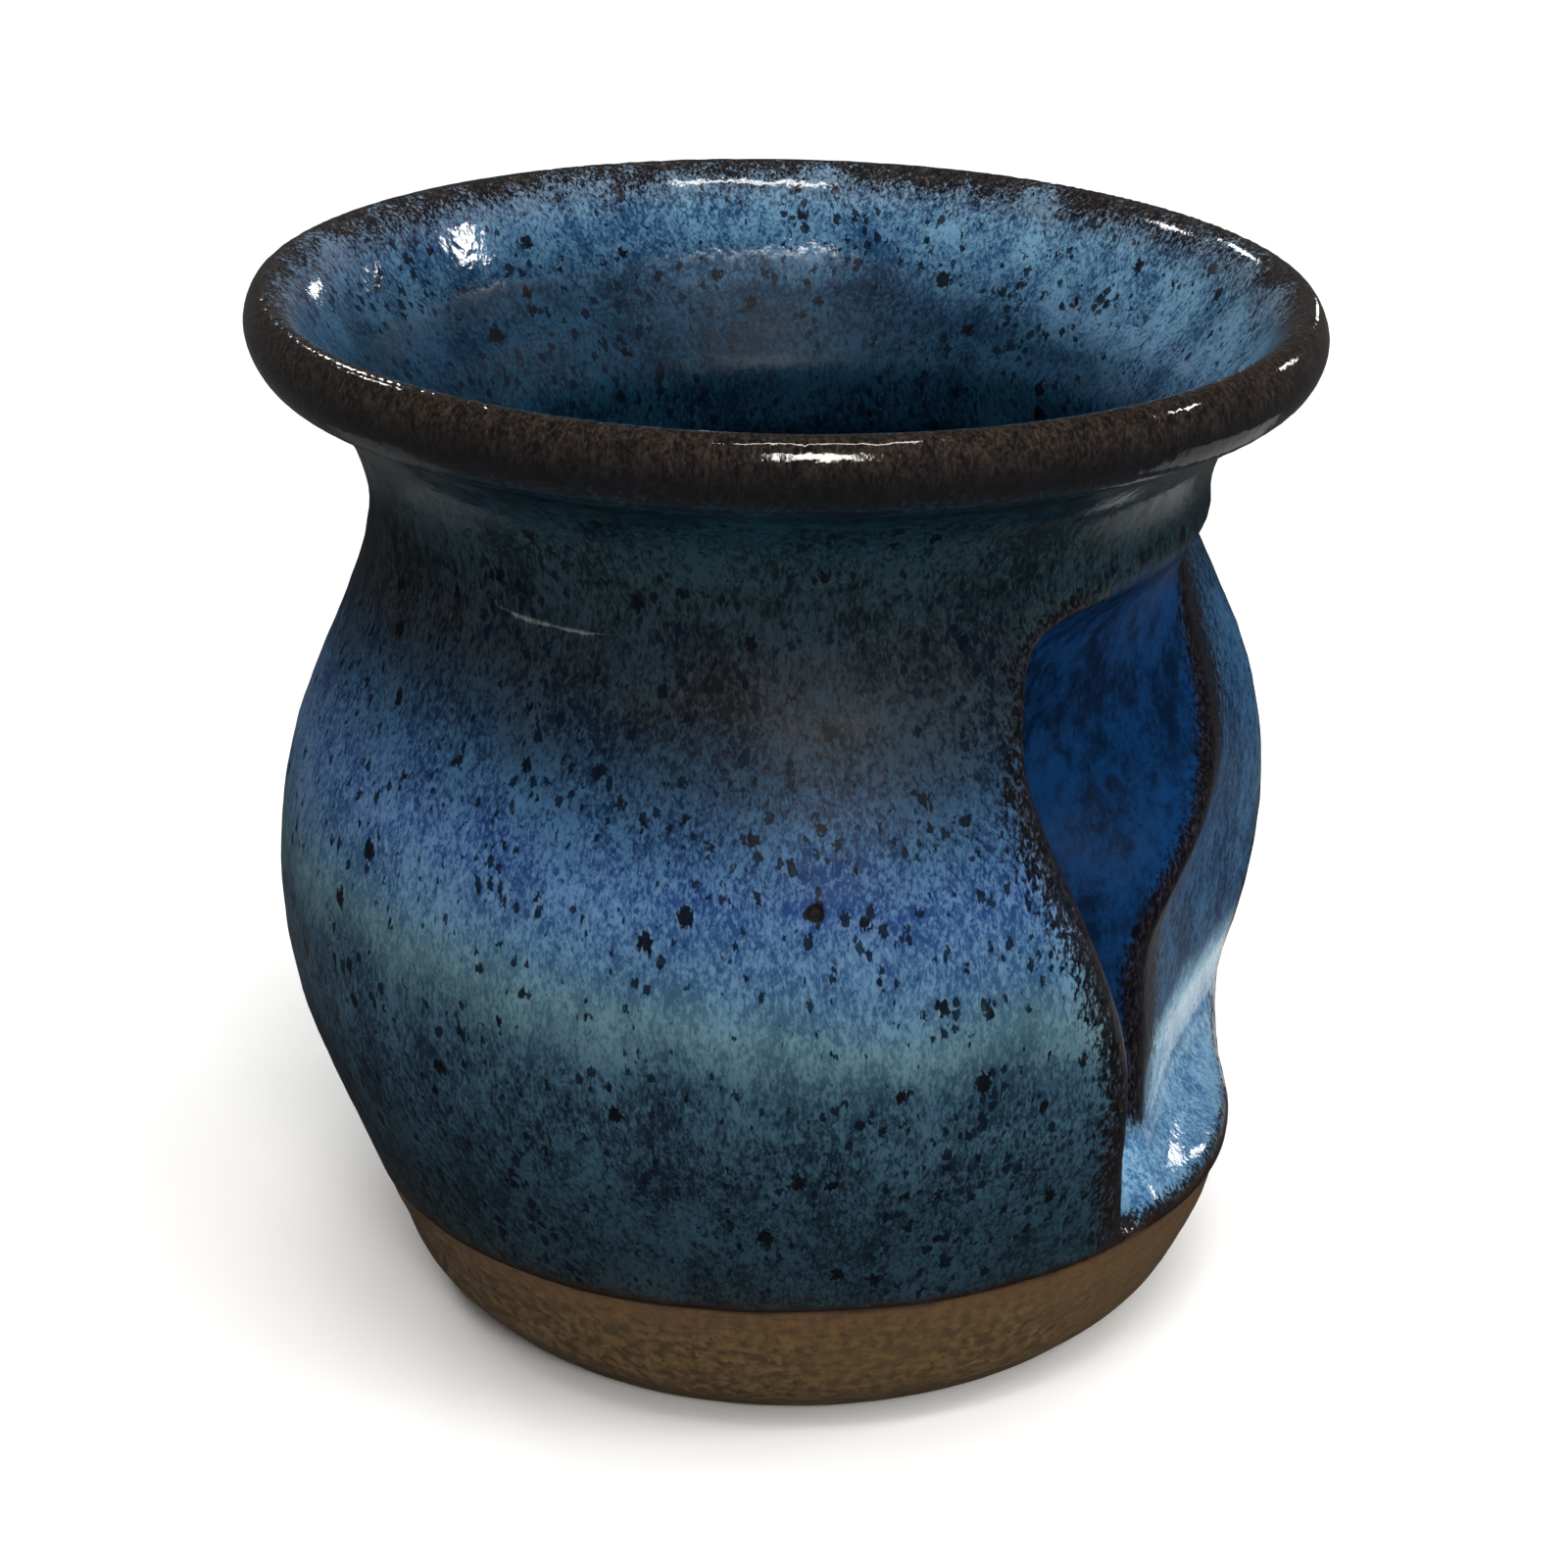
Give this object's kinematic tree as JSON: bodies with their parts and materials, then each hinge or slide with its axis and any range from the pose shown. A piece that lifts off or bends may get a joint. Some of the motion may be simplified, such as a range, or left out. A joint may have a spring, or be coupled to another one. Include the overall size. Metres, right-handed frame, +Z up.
{
  "type": "hand-warmer mug",
  "caption": "Bellied stoneware mug with a flared rolled rim, a raw clay foot and a window leading to a finger pocket pressed into its side.",
  "frame": {"origin": "centre of the foot's underside, on the surface the mug stands on", "axes": "+Z up along the throwing axis; -Y the front, where the flap is; +X the side with the window, where the right hand goes in"},
  "size_m": [0.104, 0.104, 0.1064],
  "materials": {
    "raw_clay": "matte",
    "blue_glaze": "gloss",
    "rim_glaze": "gloss"
  },
  "bodies": {
    "root": {"foot": "raw_clay", "cup_wall": "raw_clay", "pocket_flap": "raw_clay", "collar": "raw_clay", "glaze_outside": "blue_glaze", "glaze_hand_recess": "blue_glaze", "glaze_flap_lining": "blue_glaze", "glaze_inside": "blue_glaze", "glaze_collar": "rim_glaze"}
  },
  "joints": []
}
